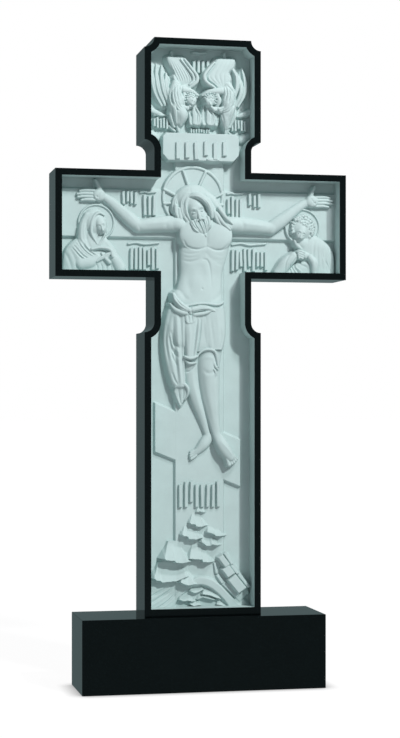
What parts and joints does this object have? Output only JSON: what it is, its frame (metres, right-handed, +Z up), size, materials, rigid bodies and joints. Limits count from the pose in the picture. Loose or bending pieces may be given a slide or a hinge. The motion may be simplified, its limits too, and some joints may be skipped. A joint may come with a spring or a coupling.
{
  "type": "orthodox cross headstone",
  "caption": "Standing grave cross of polished dark stone with a deep carved crucifixion front, set on a plain rectangular plinth.",
  "frame": {"origin": "centre of the plinth's underside", "axes": "+Z up, the carved front faces -Y, +X to the viewer's right"},
  "size_m": [0.6, 0.15, 1.315],
  "materials": {
    "polished_plinth": "polished black gabbro, fine grain, sharp arrises",
    "polished_cross": "polished black gabbro outside; the sunk carving is left matt and pale grey"
  },
  "bodies": {
    "root": {"plinth": "polished_plinth", "cross": "polished_cross"}
  },
  "joints": []
}
